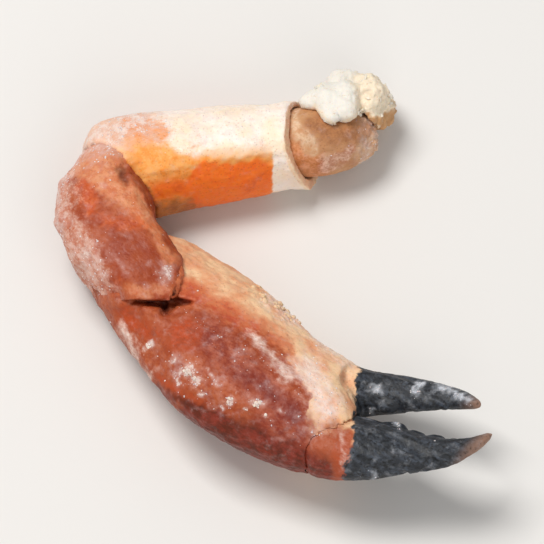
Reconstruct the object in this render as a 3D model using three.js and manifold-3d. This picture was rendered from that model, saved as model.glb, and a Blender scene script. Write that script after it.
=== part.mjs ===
// A cooked brown crab claw: a right claw with its arm, lying on the outer face of its palm.
// Millimetres, +Z up, the resting plane at z = 0. The claw makes a C, open towards +X: the arm
// runs along the back, the wrist turns at the left, and the palm and fingers come forward.
//
// Six shell pieces, each one closed body: knuckle, ischium, merus, carpus, propodus (the palm
// and the fixed finger) and dactylus (the moving finger). Each is a loft: oval sections along
// a spine, with the sizes of each section named to its crest, keel, and two flanks.

import * as THREE from "three";
import { mergeVertices } from "three/addons/utils/BufferGeometryUtils.js";
import Module from "manifold-3d";

const wasm = await Module();
wasm.setup();

const DEGREE = Math.PI / 180;
const UP = new THREE.Vector3(0, 0, 1);

// ---- driving sizes, from the claw as it lies ----

const PALM_LENGTH = 50; // from the wrist to the roots of the fingers
const PALM_HALF_HEIGHT = 17.3; // from the axis to the dorsal or the ventral edge
const PALM_HALF_THICKNESS = 10.5; // from the axis to the inner or the outer face
const FINGER_REACH = 26; // how far the fixed finger stands past the palm
const FINGER_LIFT = 13; // how far both finger tips curl to the inner side
const TOOTH_SHARE = 0.36; // a tooth's radius against the finger's half height there
const TOOTH_SPREAD = 0.12; // how much that share varies
const TOOTH_SUNK = 0.2; // the share of a tooth's radius that is sunk in the finger
const CARPUS_HALF_WIDTH = 10.6;
const RIM_LEAN = 28 * DEGREE; // how far the wrist's rim leans over the palm
const RIM_PLACE = -6.3; // where the plane of that rim meets the resting plane, along Y
const NOTCH_SIDE = 4; // of the V that opens from that rim into the palm
const NOTCH_PLACE = [-20.6, -17.6, 20.6];
const SLIT_HALF_SIZES = [8, 1, 3.4]; // of the slit under the rim: along it, across it, and deep
const SLIT_PLACE = [-23.4, -17.6, 20];
const MERUS_HALF_WIDTH = 9.6;
const ARM_RIM_LEAN = 21 * DEGREE; // how far the arm's open end leans back from the knuckle
const ARM_RIM_PLACE = 9.2; // where the plane of that end meets the resting plane, along X
const ISCHIUM_HALF_WIDTH = 7.6;
const KNUCKLE_SPAN = 18;
const LUMP_RELIEF = 0.1; // how uneven the knuckle's lumps are, against their radius

const GAP = 0.4; // between a joint's knob and its socket
const ROUND = 2; // the squareness of a plain oval section; more is squarer

// The palm lies on its outer face: its axis heads to the front right, and its inner face
// looks up, leaning away from the front.
const WRIST = new THREE.Vector3(-30.1, -9.7, 11.6);
const PALM_HEADING = -37.2 * DEGREE;
const PALM_LEAN = 22 * DEGREE;

// ---- lofts ----

const BUNCHING = 0.55; // how far the rings of a loft draw together towards its two ends

// A number that repeats for the same seed, from 0 to 1.
function seededRandom(seed) {
  let state = seed;
  return () => {
    state = (state * 1664525 + 1013904223) % 4294967296;
    return state / 4294967296;
  };
}

// A smooth bump, 1 at the middle and near 0 past the width.
function bump(distance, width) {
  return Math.exp(-((distance / width) ** 2));
}

// The shortest way round from one angle to another.
function angleBetween(a, b) {
  return Math.atan2(Math.sin(a - b), Math.cos(a - b));
}

// One side of a superellipse: 2 is round, more is squarer.
function corner(value, square) {
  return Math.sign(value) * Math.abs(value) ** (2 / square);
}

// How much of its full size a section has near a rounded end.
function endRound(t, cap) {
  const rise = Math.min(1, t / cap);
  return Math.sqrt(Math.max(0, 1 - (1 - rise) ** 2));
}

// A smooth course of values through the stations.
function course(stations, pick) {
  const points = stations.map((station) => new THREE.Vector3(...pick(station)));
  return new THREE.CatmullRomCurve3(points, false, "catmullrom", 0.5);
}

function noRelief() {
  return 0;
}

// The spine's place, its direction, and the two directions across it, at t from 0 to 1.
function frameOn(spine, t) {
  const tangent = spine.getTangent(t).normalize();
  const crest = UP.clone().addScaledVector(tangent, -UP.dot(tangent)).normalize();
  const flank = crest.clone().cross(tangent).normalize();
  return { centre: spine.getPoint(t), tangent, crest, flank };
}

// A closed body of oval sections. A station is
//   [x, y, z,  crest, keel,  flankA, flankB]
// with the half sizes up, down, and to both sides of the spine there. relief(t, angle) is
// added to the radius in mm, with the angle measured from flank A towards the crest.
function loft({ stations, rings, sides, caps, square = ROUND, relief = noRelief, grow = 0 }) {
  const spine = course(stations, (s) => s.slice(0, 3));
  const heights = course(stations, (s) => [s[3], s[4], 0]);
  const widths = course(stations, (s) => [s[5], s[6], 0]);
  const positions = [];

  const start = frameOn(spine, 0);
  const end = frameOn(spine, 1);
  const startPole = start.centre.addScaledVector(start.tangent, -grow);
  const endPole = end.centre.addScaledVector(end.tangent, grow);
  positions.push(...startPole.toArray());

  for (let ring = 0; ring < rings; ring += 1) {
    const even = (ring + 0.5) / rings;
    const bunched = (1 - Math.cos(Math.PI * even)) / 2;
    const t = THREE.MathUtils.lerp(even, bunched, BUNCHING);
    const { centre, tangent, crest, flank } = frameOn(spine, t);
    const startSize = endRound(t, caps[0]);
    const endSize = endRound(1 - t, caps[1]);
    const size = startSize * endSize;
    const onward = grow * (Math.sqrt(1 - endSize ** 2) - Math.sqrt(1 - startSize ** 2));
    const height = heights.getPoint(t);
    const width = widths.getPoint(t);
    for (let side = 0; side < sides; side += 1) {
      const angle = (2 * Math.PI * side) / sides;
      const across = corner(Math.cos(angle), square) * (Math.cos(angle) > 0 ? width.x : width.y);
      const upward = corner(Math.sin(angle), square) * (Math.sin(angle) > 0 ? height.x : height.y);
      const reach = Math.hypot(across, upward);
      const raised = (reach + relief(t, angle) + grow) * size;
      const point = centre
        .clone()
        .addScaledVector(tangent, onward)
        .addScaledVector(flank, (across / reach) * raised)
        .addScaledVector(crest, (upward / reach) * raised);
      positions.push(...point.toArray());
    }
  }
  positions.push(...endPole.toArray());

  const indices = [];
  const at = (ring, side) => 1 + ring * sides + (side % sides);
  const last = 1 + rings * sides;
  for (let side = 0; side < sides; side += 1) {
    indices.push(0, at(0, side + 1), at(0, side));
    indices.push(last, at(rings - 1, side), at(rings - 1, side + 1));
    for (let ring = 0; ring < rings - 1; ring += 1) {
      indices.push(at(ring, side), at(ring, side + 1), at(ring + 1, side));
      indices.push(at(ring, side + 1), at(ring + 1, side + 1), at(ring + 1, side));
    }
  }
  const geometry = new THREE.BufferGeometry();
  geometry.setAttribute("position", new THREE.Float32BufferAttribute(positions, 3));
  geometry.setIndex(indices);
  return geometry;
}

// ---- joining and cutting ----

function solidOf(geometry) {
  const bare = geometry.clone();
  bare.deleteAttribute("normal");
  bare.deleteAttribute("uv");
  const merged = mergeVertices(bare, 1e-4);
  const mesh = new wasm.Mesh({
    numProp: 3,
    vertProperties: new Float32Array(merged.attributes.position.array),
    triVerts: new Uint32Array(merged.index.array),
  });
  return new wasm.Manifold(mesh);
}

// The largest of the bodies that a cut leaves; the scraps are dropped.
function largestBody(solid) {
  const bodies = solid.decompose();
  return bodies.reduce((best, body) => (body.volume() > best.volume() ? body : best));
}

function geometryOf(solid) {
  const mesh = solid.getMesh();
  const geometry = new THREE.BufferGeometry();
  geometry.setAttribute("position", new THREE.BufferAttribute(mesh.vertProperties, 3));
  geometry.setIndex(new THREE.BufferAttribute(mesh.triVerts, 1));
  geometry.computeVertexNormals();
  return geometry;
}

// Everything below the resting plane.
function belowRest() {
  const span = 300;
  const depth = 60;
  return solidOf(new THREE.BoxGeometry(span, span, depth).translate(0, 0, -depth / 2));
}

function restingOn(solid) {
  return largestBody(solid.subtract(belowRest()));
}

// ---- the palm's own frame: +X to the fingers, +Y to the inner face, +Z to the dorsal edge ----

function palmPlacement() {
  const axis = new THREE.Vector3(Math.cos(PALM_HEADING), Math.sin(PALM_HEADING), 0);
  const level = new THREE.Vector3(-Math.sin(PALM_HEADING), Math.cos(PALM_HEADING), 0);
  const inner = level
    .multiplyScalar(Math.sin(PALM_LEAN))
    .add(new THREE.Vector3(0, 0, Math.cos(PALM_LEAN)));
  const dorsal = axis.clone().cross(inner);
  return new THREE.Matrix4().makeBasis(axis, inner, dorsal).setPosition(WRIST);
}

const PALM = palmPlacement();

// Low keels that run along the palm, and the granules of its dorsal edge.
function palmRelief(t, angle) {
  const dorsalKeel = 0.7 * bump(angleBetween(angle, 96 * DEGREE), 0.16);
  const innerKeel = 0.5 * bump(angleBetween(angle, 48 * DEGREE), 0.14);
  const hollow = -0.5 * bump(angleBetween(angle, 72 * DEGREE), 0.16);
  const granules = 0.22 * Math.sin(t * 96) * bump(angleBetween(angle, 96 * DEGREE), 0.22);
  const swell = 0.35 * Math.sin(angle * 3 + t * 9);
  return dorsalKeel + innerKeel + hollow + granules + swell;
}

function palmBody(grow) {
  const tall = PALM_HALF_HEIGHT;
  const thick = PALM_HALF_THICKNESS;
  const stations = [
    [-7, 1.2, -5.4, 4, 9.4, 5.4, 4],
    [-1, 0.2, -3.6, 7.8, 15.4, thick - 3, thick - 2.6],
    [PALM_LENGTH * 0.25, -0.2, -0.6, tall - 5.9, tall + 1.2, thick - 1.4, thick - 0.6],
    [PALM_LENGTH * 0.5, 0, 0, tall - 0.9, tall - 0.3, thick, thick],
    [PALM_LENGTH * 0.75, 0, 0, tall - 0.6, tall - 2.6, thick - 0.4, thick - 0.6],
    [PALM_LENGTH, 0.6, 0, tall - 4.6, tall - 1.6, thick - 1.4, thick - 2],
    [PALM_LENGTH + 6, 2, -4, 10, 11, 6, 6],
  ];
  return loft({
    stations,
    rings: 32,
    sides: 32,
    caps: [0.1, 0.1],
    square: 2.1,
    relief: palmRelief,
    grow,
  });
}

// Shallow grooves that run along a finger's flanks.
function fingerRelief(t, angle) {
  const grooves = Math.cos(angle * 6);
  return 0.2 * grooves * Math.sin(Math.PI * t);
}

const FIXED_FINGER = [
  [PALM_LENGTH - 12, 0.5, -7, 8, 7.5, 6.5, 6.5],
  [PALM_LENGTH - 2, 1.4, -9.2, 7, 5.6, 5.6, 5.6],
  [PALM_LENGTH + 4, 3.2, -12, 5.4, 4, 4.4, 4.4],
  [PALM_LENGTH + 9, 5.4, -13.8, 4.4, 3.8, 3.6, 3.6],
  [PALM_LENGTH + 14, 7.8, -15.1, 3.2, 3.4, 2.6, 2.7],
  [PALM_LENGTH + 19, 10.3, -16.0, 2.3, 2.4, 1.8, 1.9],
  [PALM_LENGTH + FINGER_REACH - 2, FINGER_LIFT, -15.6, 0.9, 0.9, 0.8, 0.8],
];

const MOVING_FINGER = [
  [PALM_LENGTH, 0.2, 7.4, 5.4, 5.6, 5, 5],
  [PALM_LENGTH + 4, 0.9, 5.8, 6.8, 7.8, 6.2, 5.8],
  [PALM_LENGTH + 9, 2.3, 3.4, 7, 8, 5.8, 5.6],
  [PALM_LENGTH + 14.5, 4.2, 0.4, 6.4, 6.6, 4.7, 4.6],
  [PALM_LENGTH + 19.5, 6.4, -1.4, 5, 5, 3.4, 3.4],
  [PALM_LENGTH + 24.5, 8.8, -3.8, 3.8, 3.8, 2.6, 2.6],
  [PALM_LENGTH + 28, 11.1, -7.4, 2.5, 2.5, 1.8, 1.8],
  [PALM_LENGTH + FINGER_REACH + 3.8, FINGER_LIFT + 0.1, -11.4, 0.9, 0.9, 0.8, 0.8],
];

function fixedFingerBody() {
  return loft({
    stations: FIXED_FINGER,
    rings: 22,
    sides: 18,
    caps: [0.1, 0.07],
    relief: fingerRelief,
  });
}

function dactylusBody(grow) {
  return loft({
    stations: MOVING_FINGER,
    rings: 28,
    sides: 20,
    caps: [0.14, 0.06],
    relief: fingerRelief,
    grow,
  });
}

// Blunt teeth along a finger's biting edge: its crest (+1) or its keel (-1). Each stands on
// the section at its t, a little sunk in, and is as long as it is tall or longer.
function teeth(stations, edge, places, seed) {
  const spine = course(stations, (s) => s.slice(0, 3));
  const heights = course(stations, (s) => [s[3], s[4], 0]);
  const random = seededRandom(seed);
  return places.map((t) => {
    const { centre, tangent, crest, flank } = frameOn(spine, t);
    const height = edge > 0 ? heights.getPoint(t).x : heights.getPoint(t).y;
    const size = height * (TOOTH_SHARE + TOOTH_SPREAD * random());
    const tooth = new THREE.SphereGeometry(size, 10, 7);
    tooth.scale(1.5, 0.95, 0.8);
    tooth.applyMatrix4(new THREE.Matrix4().makeBasis(tangent, flank, crest));
    const seat = centre.addScaledVector(crest, edge * (height - size * TOOTH_SUNK));
    return placed(tooth.translate(...seat.toArray()));
  });
}

function fixedTeeth() {
  return teeth(FIXED_FINGER, 1, [0.42, 0.54, 0.66, 0.77, 0.87], 7);
}

function dactylusTeeth() {
  return teeth(MOVING_FINGER, -1, [0.42, 0.53, 0.64, 0.75, 0.85], 19);
}

function joined(solids) {
  return solids.reduce((sum, solid) => sum.add(solid));
}

function placed(geometry) {
  return solidOf(geometry.applyMatrix4(PALM));
}

// The short V that opens from under the wrist's rim into the palm's upper face.
function wristNotch() {
  const notch = new THREE.BoxGeometry(NOTCH_SIDE, NOTCH_SIDE, NOTCH_SIDE);
  return solidOf(notch.rotateZ(45 * DEGREE).translate(...NOTCH_PLACE));
}

// The slit along that rim, which fades out to both sides of the V.
function wristSlit() {
  const slit = new THREE.SphereGeometry(1, 18, 12).scale(...SLIT_HALF_SIZES);
  return solidOf(slit.rotateX(RIM_LEAN).translate(...SLIT_PLACE));
}

function propodus() {
  const shell = joined([placed(palmBody(0)), placed(fixedFingerBody()), ...fixedTeeth()]);
  const openings = joined([placed(dactylusBody(GAP)), wristNotch(), wristSlit()]);
  return restingOn(shell.subtract(openings));
}

function dactylus() {
  return largestBody(joined([placed(dactylusBody(0)), ...dactylusTeeth()]));
}

// ---- the wrist ----

// A frilled crest along the outer edge, and a low swell over the back.
function carpusRelief(t, angle) {
  const along = bump(t - 0.5, 0.34);
  const frill = 0.8 + 0.5 * Math.sin(t * 44);
  const crest = 1.1 * frill * along * bump(angleBetween(angle, 165 * DEGREE), 0.24);
  const shoulder = 0.7 * bump(angleBetween(angle, 60 * DEGREE), 0.3) * along;
  const swell = 0.35 * Math.sin(angle * 4 + t * 7);
  return crest + shoulder + swell;
}

function carpusBody(grow) {
  const half = CARPUS_HALF_WIDTH;
  const stations = [
    [-32.4, 20.6, 9.6, 4.6, 5, 4.6, 4.6],
    [-33.6, 16.2, 10, half - 2.4, half - 1.2, half - 3, half - 5],
    [-34.2, 8.4, 10.4, half, half, half - 0.8, half - 1.8],
    [-31.4, -1.2, 11.4, half + 0.6, half + 0.8, half - 1.4, half - 1.2],
    [-27.4, -10, 12.5, half - 0.1, half + 0.8, half - 0.6, half - 2.5],
    [-24.6, -25, 12.6, half - 1.6, half - 0.6, half - 1, half - 3],
  ];
  return loft({
    stations,
    rings: 26,
    sides: 30,
    caps: [0.16, 0.08],
    square: 2.3,
    relief: carpusRelief,
    grow,
  });
}

// Everything past the wrist's rim, which leans over the palm.
function pastWristRim() {
  const span = 120;
  const past = new THREE.BoxGeometry(span, span, span).translate(0, -span / 2, 0);
  return solidOf(past.rotateX(RIM_LEAN).translate(0, RIM_PLACE, 0));
}

function carpus() {
  const past = pastWristRim();
  return restingOn(solidOf(carpusBody(0)).subtract(joined([placed(palmBody(GAP)), past])));
}

// ---- the arm ----

// The merus is three-sided, with a blunt ridge along its top front, and its end has a rim.
function merusRelief(t, angle) {
  const ridge = 1.2 * bump(angleBetween(angle, 118 * DEGREE), 0.3);
  const backEdge = 0.9 * bump(angleBetween(angle, -15 * DEGREE), 0.3);
  const frontEdge = 0.9 * bump(angleBetween(angle, 205 * DEGREE), 0.3);
  const fromRim = t - 0.86 + 0.07 * Math.sin(angle);
  const rim = 0.5 * bump(fromRim, 0.04);
  const waist = -0.5 * bump(fromRim + 0.1, 0.06);
  return ridge + backEdge + frontEdge + rim + waist;
}

function merusBody() {
  const half = MERUS_HALF_WIDTH;
  const stations = [
    [-38.4, 16.6, 9.6, half - 3.4, half - 3, half - 2.4, half - 4],
    [-32, 17.4, 9.7, half - 1.2, half - 1, half + 0.7, half - 0.6],
    [-26, 18, 9.7, half - 0.4, half - 0.4, half + 1.4, half + 0.1],
    [-16, 19.8, 9.6, half - 0.4, half + 0.3, half + 0.5, half - 0.6],
    [-5, 21.8, 9.6, half - 0.6, half, half - 0.2, half - 0.8],
    [4, 23.2, 9.2, half - 1.2, half - 0.6, half - 1.2, half - 1],
    [12, 24.8, 8.8, half - 1.8, half - 0.6, half - 1.4, half - 1.2],
  ];
  return loft({ stations, rings: 25, sides: 26, caps: [0.12, 0.03], relief: merusRelief });
}

// Everything past the arm's open end.
function pastArmRim() {
  const span = 120;
  const past = new THREE.BoxGeometry(span, span, span).translate(span / 2, 0, 0);
  return solidOf(past.rotateY(-ARM_RIM_LEAN).translate(ARM_RIM_PLACE, 0, 0));
}

function ischiumBody(grow) {
  const half = ISCHIUM_HALF_WIDTH;
  const stations = [
    [-2, 22, 9, 3.4, 3.4, 3.4, 3.4],
    [3.4, 22.9, 8.9, half - 0.8, half - 0.9, half - 0.6, half - 1.4],
    [10, 24, 8.8, half - 0.2, half - 0.4, half, half - 0.8],
    [16, 26.2, 8.6, half - 1.6, half - 0.8, half - 0.8, half - 1.2],
    [19.8, 28.4, 8.4, half - 4, half - 3, half - 3.4, half - 3.4],
  ];
  return loft({ stations, rings: 18, sides: 22, caps: [0.2, 0.16], grow });
}

function merus() {
  const shell = solidOf(merusBody());
  const sockets = joined([solidOf(carpusBody(GAP)), solidOf(ischiumBody(GAP))]);
  return restingOn(shell.subtract(joined([sockets, pastArmRim()])));
}

function ischium() {
  return restingOn(solidOf(ischiumBody(0)));
}

// ---- the torn white knuckle: two thick lobes with uneven lumps and torn flakes round them ----

function lump(centre, radius, random) {
  const geometry = new THREE.IcosahedronGeometry(radius, 3);
  const position = geometry.attributes.position;
  const phases = [random(), random(), random()].map((value) => value * 2 * Math.PI);
  const point = new THREE.Vector3();
  for (let index = 0; index < position.count; index += 1) {
    point.fromBufferAttribute(position, index);
    const way = point.clone().normalize();
    const waves = [way.x * 5, way.y * 6, way.z * 7].map((turn, axis) => Math.sin(turn + phases[axis]));
    point.multiplyScalar(1 + LUMP_RELIEF * (waves[0] + waves[1] + waves[2]));
    position.setXYZ(index, ...point.toArray());
  }
  return solidOf(geometry.translate(...centre));
}

function knuckle() {
  const random = seededRandom(41);
  const unit = KNUCKLE_SPAN / 18;
  const lumps = [
    [10.6, 28.8, 12.8, 5.3],
    [14.4, 29.6, 13.2, 4.6],
    [18.4, 31.8, 11.4, 5.2],
    [20.4, 32.6, 7.2, 4.4],
    [15.6, 34.6, 7.8, 5.6],
    [12.4, 33.4, 6, 4.6],
    [17, 33.8, 3.8, 4.8],
  ].map(([x, y, z, radius]) => lump([x, y, z], radius * unit, random));
  return restingOn(joined(lumps).subtract(solidOf(ischiumBody(GAP))));
}

// ---- the claw ----

function piece(name, solid, color, roughness) {
  const material = new THREE.MeshStandardMaterial({ color, roughness, metalness: 0 });
  const mesh = new THREE.Mesh(geometryOf(solid), material);
  mesh.name = name;
  return mesh;
}

const claw = new THREE.Group();
claw.name = "claw";
claw.add(piece("propodus", propodus(), 0xa8472e, 0.5));
claw.add(piece("dactylus", dactylus(), 0x2b2c30, 0.55));
claw.add(piece("carpus", carpus(), 0xa9452c, 0.5));
claw.add(piece("merus", merus(), 0xe9c9a4, 0.5));
claw.add(piece("ischium", ischium(), 0xd8b48c, 0.45));
claw.add(piece("knuckle", knuckle(), 0xf3ead6, 0.8));

// The origin is under the middle of the claw's box.
const box = new THREE.Box3().setFromObject(claw);
const middle = box.getCenter(new THREE.Vector3());
claw.position.set(-middle.x, -middle.y, 0);

export default claw;
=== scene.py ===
"""The looks of a cooked brown crab claw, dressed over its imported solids.

Metres, in the frame of the solids: +Z up, the claw lying on the outer face of its palm. The
sizes and places below are millimetres unless they say metres, and MM turns them into metres
where meshes are made. Every piece starts as a copy of its solid, gets finer and rounder
faces, is carved by displacement under painted weights, and carries masks for its material.

The shown side is painted in the picture's own plane: across to the right, and up.
"""

import math
from collections import namedtuple

import bpy
import numpy as np
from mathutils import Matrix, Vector


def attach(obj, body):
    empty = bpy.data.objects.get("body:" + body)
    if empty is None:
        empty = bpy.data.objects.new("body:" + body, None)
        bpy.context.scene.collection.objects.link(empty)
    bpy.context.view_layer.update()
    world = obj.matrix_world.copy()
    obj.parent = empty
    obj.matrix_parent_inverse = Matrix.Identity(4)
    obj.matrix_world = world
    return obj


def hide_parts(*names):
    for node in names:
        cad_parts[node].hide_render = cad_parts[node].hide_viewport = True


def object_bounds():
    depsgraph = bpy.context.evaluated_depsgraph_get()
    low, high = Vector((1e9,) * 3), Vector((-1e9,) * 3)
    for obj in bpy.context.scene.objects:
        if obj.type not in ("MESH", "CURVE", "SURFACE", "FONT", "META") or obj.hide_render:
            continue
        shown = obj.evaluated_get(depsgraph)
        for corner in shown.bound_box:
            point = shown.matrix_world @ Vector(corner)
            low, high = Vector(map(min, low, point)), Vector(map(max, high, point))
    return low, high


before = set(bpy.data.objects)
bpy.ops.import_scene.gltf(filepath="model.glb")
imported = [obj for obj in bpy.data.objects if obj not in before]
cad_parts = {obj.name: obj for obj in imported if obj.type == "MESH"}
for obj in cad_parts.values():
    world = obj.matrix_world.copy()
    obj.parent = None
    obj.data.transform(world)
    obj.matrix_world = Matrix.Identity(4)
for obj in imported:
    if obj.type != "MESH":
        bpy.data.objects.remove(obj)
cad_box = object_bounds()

MM = 0.001

# ---- the view and the light, in metres ----

CAMERA_RISE = math.radians(63.5)  # the camera's height above the level, as in the photograph
CAMERA_DISTANCE = 1.2
CAMERA_REACH = 10
CAMERA_LENS = 400  # millimetres
LAMPS = (  # name, place, side, power, colour
    ("key", (-0.36, 0.24, 1.0), 0.45, 9.3, (1.0, 0.985, 0.965)),
    ("fill", (0.3, -0.95, 0.6), 0.9, 4.4, (1.0, 0.99, 0.98)),
)
SKY_STRENGTH = 0.34
FLOOR_SIDE = 3.0
FLOOR_DROP = 0.1 * MM

# The plane that the paint is laid out in, and the way it faces.
PAINT_RISE = math.radians(62)
PAINT_UP = np.array((0, math.sin(PAINT_RISE), math.cos(PAINT_RISE)))
PAINT_NEAR = np.array((0, -math.cos(PAINT_RISE), math.sin(PAINT_RISE)))

# ---- the palm's own axes, and the planes of the two rims, as the solids have them ----

PALM_HEADING = math.radians(-37.2)
PALM_LEAN = math.radians(22)
WRIST = np.array((-29.65, -2.76, 11.6))
ELBOW = np.array((-37.95, 23.5, 9.4))
ARM_HEADING = math.radians(9.1)
CARPUS_SPINE_Y = (-18, -3, 5.8, 15.4, 23.2, 27.6)
CARPUS_SPINE_X = (-24, -27, -31, -33.8, -33.1, -32)
CARPUS_SPINE_Z = 11.4
RIM_LEAN = math.radians(28)
RIM_PLACE = 0.64  # where the wrist's leaning rim meets the floor, along Y
RIM_MIDDLE = (-27, 12)  # its middle, to the right and up its own slope
RIM_EASED = 4.5  # how near it a shell's edge is eased in or out to meet the other's
RIM_CLOSED = 1.8  # how near it a shell is drawn up to the other, by this step
RIM_STEP = 0.3
ARM_RIM_LEAN = math.radians(21)
ARM_RIM_PLACE = 9.65  # where the arm's leaning rim meets the floor, along X

# The fingers turn black past this line on the palm's axes.
BLACK_STARTS = 55.4
BLACK_SLANT = 0.57
# Along the palm, where each black tip starts to be worn, and where it is bare.
FIXED_TIP = (69.5, 74)
MOVING_TIP = (76.5, 80)
# Each finger's middle line on the dorsal axis, and how many grooves run round it.
FIXED_GROOVES = (-14, 7)
MOVING_GROOVES = (1.5, 6)
# Where the fingers start to rise from the palm's axis, and how steeply.
FINGER_START = 50
FINGER_RISE = 0.17

# ---- the sizes of the faces ----

PALM_CELL = 0.36
SHELL_CELL = 0.34
FINGER_CELL = 0.26
KNUCKLE_CELL = 0.28
SKIN_CELL = 0.25

# ---- the loose bits ----

# A size is the least plus the spread times a random share to this power.
Strewn = namedtuple("Strewn", "name count least spread power flatness seed")
RIME = Strewn("rime", 0, 0.07, 0.17, 2.5, 0.6, 0)  # named, counted and seeded for each piece
CRUMBS = Strewn("shell_crumbs", 46, 0.25, 0.4, 1.5, 0.55, 71)
LUMPS = Strewn("frost_lumps", 54, 0.16, 0.3, 1.8, 0.3, 75)
FLAKES = Strewn("torn_flakes", 16, 0.5, 0.8, 1.5, 1.0, 81)
SKIN = Strewn("wrist_membrane", 15, 1.05, 0, 1, 0.9, 87)
SKIN_DEPTH = 0.6  # how far the joint skin lies under the shells beside it


def colour(*levels):
    """A colour given in the 0 to 255 levels that a picture shows, as linear light."""
    return (*(((level / 255 + 0.055) / 1.055) ** 2.4 for level in levels), 1)


# ---- meshes ----

def only(piece):
    bpy.ops.object.select_all(action="DESELECT")
    piece.select_set(True)
    bpy.context.view_layer.objects.active = piece


def shape_with(piece, kind, **settings):
    """Adds a modifier, sets it and applies it."""
    modifier = piece.modifiers.new(kind.lower(), kind)
    for name, value in settings.items():
        setattr(modifier, name, value)
    only(piece)
    bpy.ops.object.modifier_apply(modifier=modifier.name)


def new_object(name, data):
    made = bpy.data.objects.new(name, data)
    bpy.context.scene.collection.objects.link(made)
    return made


def edit_all(piece, operator, **settings):
    """Runs an edit mode operator on the whole of a piece."""
    only(piece)
    bpy.ops.object.mode_set(mode="EDIT")
    bpy.ops.mesh.select_all(action="SELECT")
    operator(**settings)
    bpy.ops.object.mode_set(mode="OBJECT")


def round_off(piece, cell, passes):
    """Trades flat facets for small even faces, smoothed over."""
    shape_with(piece, "REMESH", mode="VOXEL", voxel_size=cell * MM)
    shape_with(piece, "SMOOTH", factor=0.5, iterations=passes)


def rounded_copy(node_name, name, cell, passes=6):
    """A closed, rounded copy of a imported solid, whose own mesh is loose triangles."""
    piece = new_object(name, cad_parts[node_name].data.copy())
    piece.data.materials.clear()
    edit_all(piece, bpy.ops.mesh.remove_doubles, threshold=0.001 * MM)
    edit_all(piece, bpy.ops.mesh.normals_make_consistent, inside=False)
    round_off(piece, cell, passes)
    return piece


def read_rows(items, key, width):
    """One value of each item of a mesh's data, as rows of this width."""
    flat = np.empty(len(items) * width, np.float32)
    items.foreach_get(key, flat)
    return flat.reshape(-1, width)


def points_of(piece):
    """The piece's points in mm."""
    return read_rows(piece.data.vertices, "co", 3).astype(float) / MM


def normals_of(piece):
    return read_rows(piece.data.vertex_normals, "vector", 3).astype(float)


def mask_of(piece, name):
    return read_rows(piece.data.attributes[name].data, "value", 1)[:, 0]


def move_points(piece, points):
    """Puts the piece's points at these places in mm."""
    piece.data.vertices.foreach_set("co", (points * MM).astype(np.float32).ravel())
    piece.data.update()


def write_masks(piece, **masks):
    """Writes masks, cut off at 0 and 1, under the names that materials read."""
    none = np.zeros(len(piece.data.vertices))
    for name, values in masks.items():
        attribute = piece.data.attributes.new(name, "FLOAT", "POINT")
        attribute.data.foreach_set("value", np.clip(none + values, 0, 1).astype(np.float32))


def write_shell_masks(piece, **masks):
    """Writes a shell's masks, with no black, wear or shade unless they are given."""
    write_masks(piece, **{"black": 0, "worn": 0, "shade": 0, **masks})


def write_lie(piece, *axes):
    """The piece's own axes in mm, for patterns that follow its length."""
    attribute = piece.data.attributes.new("lie", "FLOAT_VECTOR", "POINT")
    attribute.data.foreach_set("vector", np.stack(axes, axis=1).astype(np.float32).ravel())


WEIGHT_STEPS = 64


def shape_under(piece, weights, kind, **settings):
    """Applies a modifier under painted weights, or under one weight everywhere."""
    group = piece.vertex_groups.new(name="carving")
    steps = np.rint(np.clip(weights, 0, 1) * WEIGHT_STEPS).astype(int)
    steps = np.broadcast_to(steps, len(piece.data.vertices))
    for step in range(1, WEIGHT_STEPS + 1):
        chosen = np.nonzero(steps == step)[0]
        if len(chosen):
            group.add(chosen.tolist(), step / WEIGHT_STEPS, "REPLACE")
    shape_with(piece, kind, vertex_group=group.name, **settings)
    piece.vertex_groups.clear()


def swell(piece, weights, height):
    """Moves the surface out by height in mm under the weights."""
    shape_under(piece, weights, "DISPLACE", strength=height * MM, mid_level=0)


def roughen(piece, weights, *rows, middle=0.5):
    """Gives the surface relief under the weights. Each row is the height and size of a
    pattern in mm, and its kind: clouds, sharp clouds or cells."""
    for height, size, kind in rows:
        texture = bpy.data.textures.new(kind, "VORONOI" if kind == "cells" else "CLOUDS")
        texture.noise_scale = size * MM
        if kind == "sharp":
            texture.noise_type = "HARD_NOISE"
        shape_under(piece, weights, "DISPLACE", strength=height * MM, mid_level=middle,
                    texture=texture)


def sit(piece):
    """Nothing carved reaches under the floor."""
    points = points_of(piece)
    points[:, 2] = np.maximum(points[:, 2], 0)
    move_points(piece, points)


# ---- painting by place ----

def rise(values, start, end):
    """0 before start, 1 past end, smooth between; it falls where end is below start."""
    share = np.clip((values - start) / (end - start), 0, 1)
    return share * share * (3 - 2 * share)


def band(values, low, high, soft):
    return rise(values, low - soft, low + soft) * (1 - rise(values, high - soft, high + soft))


def ripple(points, length, seed):
    """A smooth random field, mostly from -1 to 1, that varies over about this length in mm."""
    draw = np.random.default_rng(seed)
    total = np.zeros(len(points))
    for _ in range(7):
        way = draw.normal(size=3)
        way /= np.linalg.norm(way)
        wave = length * draw.uniform(0.7, 1.6)
        total += np.sin(points @ way * 2 * math.pi / wave + draw.uniform(0, 2 * math.pi))
    return total / 4


def wander(points, seed):
    """How far a ragged edge strays to either side, in mm."""
    return 0.7 * ripple(points, 4.5, seed) + 0.4 * ripple(points, 1.7, seed + 1)


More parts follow.
